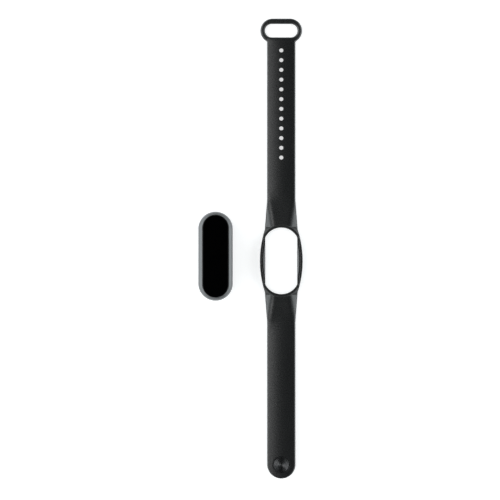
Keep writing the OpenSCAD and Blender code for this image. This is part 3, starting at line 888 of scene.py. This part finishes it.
def circuit(name, dark, light):
    """Solder mask with faint copper tracks under it."""
    m, t, b = material(name, light, 0.35)
    xyz = coords(t)
    brick = node(t, "ShaderNodeTexBrick")
    brick.inputs["Scale"].default_value = 700
    brick.inputs["Mortar Size"].default_value = 0.06
    brick.inputs["Color1"].default_value = (*dark, 1)
    brick.inputs["Color2"].default_value = (*dark, 1)
    brick.inputs["Mortar"].default_value = (*light, 1)
    t.links.new(xyz, brick.inputs["Vector"])
    t.links.new(brick.outputs["Color"], b.inputs["Base Color"])
    t.links.new(remap(t, noise(t, 2500, 3), 0.28, 0.42, 0.3, 0.7), b.inputs["Roughness"])
    bump(t, b, brick.outputs["Fac"], 0.2, 0.00003, 0.00006)
    return m


M = {
    "strap_rubber": silicone(),
    "cover_glass": black_glass(),
    "housing_plastic": graphite(),
    "stud_metal": spun_metal(),
    "post_metal": surface("post_metal", (0.42, 0.42, 0.43), (0.52, 0.52, 0.53), 0.26, 0.06, 1.0),
    "lower_plastic": surface("lower_plastic", (0.018, 0.018, 0.02), (0.028, 0.028, 0.03), 0.5, 0.07),
    "foam": surface("foam", (0.03, 0.03, 0.03), (0.06, 0.06, 0.06), 0.85, 0.06, grain=9000, relief=0.00006),
    "film": surface("film", (0.28, 0.26, 0.20), (0.36, 0.33, 0.26), 0.2, 0.05),
    "adhesive": surface("adhesive", (0.62, 0.55, 0.24), (0.72, 0.63, 0.28), 0.5, 0.08),
    "display": surface("display", (0.006, 0.006, 0.012), (0.02, 0.02, 0.035), 0.15, 0.04),
    "flex": circuit("flex", (0.62, 0.30, 0.06), (0.75, 0.42, 0.12)),
    "board": circuit("board", (0.006, 0.07, 0.03), (0.02, 0.13, 0.06)),
    "chip": surface("chip", (0.012, 0.012, 0.012), (0.022, 0.022, 0.022), 0.55, 0.08),
    "shield": surface("shield", (0.55, 0.55, 0.54), (0.68, 0.68, 0.67), 0.3, 0.08, 1.0),
    "gold": surface("gold", (0.75, 0.52, 0.22), (0.90, 0.66, 0.32), 0.22, 0.06, 1.0),
    "cell": surface("cell", (0.50, 0.51, 0.53), (0.66, 0.67, 0.69), 0.38, 0.08, 0.9, grain=1500,
                    relief=0.0001),
    "wire": surface("wire", (0.42, 0.03, 0.03), (0.55, 0.05, 0.04), 0.42, 0.06),
    "steel": surface("steel", (0.50, 0.50, 0.50), (0.62, 0.62, 0.62), 0.28, 0.07, 1.0),
    "tungsten": surface("tungsten", (0.24, 0.23, 0.22), (0.34, 0.33, 0.31), 0.48, 0.08, 1.0),
    "boot": surface("boot", (0.13, 0.03, 0.025), (0.19, 0.045, 0.035), 0.6, 0.07),
    "led": surface("led", (0.12, 0.5, 0.2), (0.25, 0.75, 0.35), 0.2, 0.05),
    "window": surface("window", (0.008, 0.009, 0.009), (0.016, 0.018, 0.018), 0.10, 0.03, bevel=0),
}


def wear(ob, slot):
    """Gives a piece the material of a slot."""
    ob.data.materials.clear()
    ob.data.materials.append(M[slot])


for ob in skins:
    wear(ob, "strap_rubber")
wear(housing, "housing_plastic")
wear(glass, "cover_glass")
wear(cap_disc, "stud_metal")
wear(post, "post_metal")
wear(window, "window")
for part in frame["record"]["subparts"]:
    ob = frame["nodes"].get(part["node"])
    if ob is not None:
        ob.data.materials.clear()
        ob.data.materials.append(M[part["material_slot"]])

# ------------------------------------------------------------------ set, light and camera
me = bpy.data.meshes.new("table_top")
me.from_pydata([(-3, -3, 0), (3, -3, 0), (3, 3, 0), (-3, 3, 0)], [], [(0, 1, 2, 3)])
table = add("table_top", me)
m, t, b = material("table_top", (0.60, 0.60, 0.60), 0.8)
t.links.new(mix_color(t, remap(t, noise(t, 3, 2), 0, 1, 0.3, 0.7), (0.595, 0.595, 0.595),
                      (0.605, 0.605, 0.605)), b.inputs["Base Color"])
b.inputs["Specular IOR Level"].default_value = 0.0
b.inputs["Emission Color"].default_value = (1, 1, 1, 1)
b.inputs["Emission Strength"].default_value = 0.66
me.materials.append(m)

# a bright band round a dark zenith: height of the direction and radiance, the two end stops first
SKY = [(0.0, 0.9), (0.98, 0.007), (0.35, 1.9), (0.55, 3.4), (0.70, 3.4), (0.80, 0.65), (0.90, 0.032)]
world = bpy.data.worlds.new("studio")
bpy.context.scene.world = world
world.use_nodes = True
wt = world.node_tree
bg = wt.nodes["Background"]
sep = node(wt, "ShaderNodeSeparateXYZ")
wt.links.new(node(wt, "ShaderNodeTexCoord").outputs["Generated"], sep.inputs[0])
ramp = node(wt, "ShaderNodeValToRGB")
for k, (place, level) in enumerate(SKY):
    step = ramp.color_ramp.elements[k] if k < 2 else ramp.color_ramp.elements.new(place)
    step.position, step.color = place, (level * 0.94, level, level * 1.02, 1)
wt.links.new(sep.outputs["Z"], ramp.inputs[0])
wt.links.new(ramp.outputs["Color"], bg.inputs["Color"])


def math_node(op, a, b):
    """A sum of two values or node outputs for the world."""
    n = node(wt, "ShaderNodeMath", operation=op)
    for k, v in enumerate((a, b)):
        if isinstance(v, (int, float)):
            n.inputs[k].default_value = v
        else:
            wt.links.new(v, n.inputs[k])
    return n.outputs[0]


# the band is brightest to the left and right, a little more so to the left
END_LIGHT, LEAN = 0.11, 0.15
across, up = sep.outputs["X"], sep.outputs["Z"]
level = math_node("MAXIMUM", math_node("SUBTRACT", 1.0, math_node("MULTIPLY", up, up)), 0.001)
sideways = math_node("DIVIDE", math_node("MULTIPLY", across, across), level)
gain = math_node("ADD", math_node("MULTIPLY", sideways, 1 - END_LIGHT), END_LIGHT)
lean = math_node("SUBTRACT", 1.0, math_node("MULTIPLY", across, LEAN))
wt.links.new(math_node("MULTIPLY", gain, lean), bg.inputs["Strength"])


def softbox(name, place, size_x, size_y, power, aim=(0, 0, 0)):
    """A soft rectangular light that faces a point."""
    lamp = bpy.data.lights.new(name, "AREA")
    lamp.shape, lamp.size, lamp.size_y, lamp.energy = "RECTANGLE", size_x, size_y, power
    ob = add(name, lamp)
    ob.location = place
    ob.rotation_euler = (Vector(aim) - Vector(place)).to_track_quat("-Z", "Y").to_euler()
    return ob


lights = [
    softbox("key", (-0.44, 0.06, 1.50), 0.42, 0.42, 1.4),
    softbox("fill", (1.2, -0.1, 0.45), 0.4, 1.2, 0.9),
]
CAMERA_HEIGHT, VIEW_HALF = 1.6, 0.1325      # straight above; half the width seen on the floor
camera = add("camera", bpy.data.cameras.new("camera"))
camera.location = (-0.01655, 0.00576, CAMERA_HEIGHT)
camera.data.angle = 2 * math.atan(VIEW_HALF / CAMERA_HEIGHT)
camera.data.clip_start, camera.data.clip_end = 0.01, 20
bpy.context.scene.camera = camera

bpy.context.scene.view_settings.view_transform = "Standard"
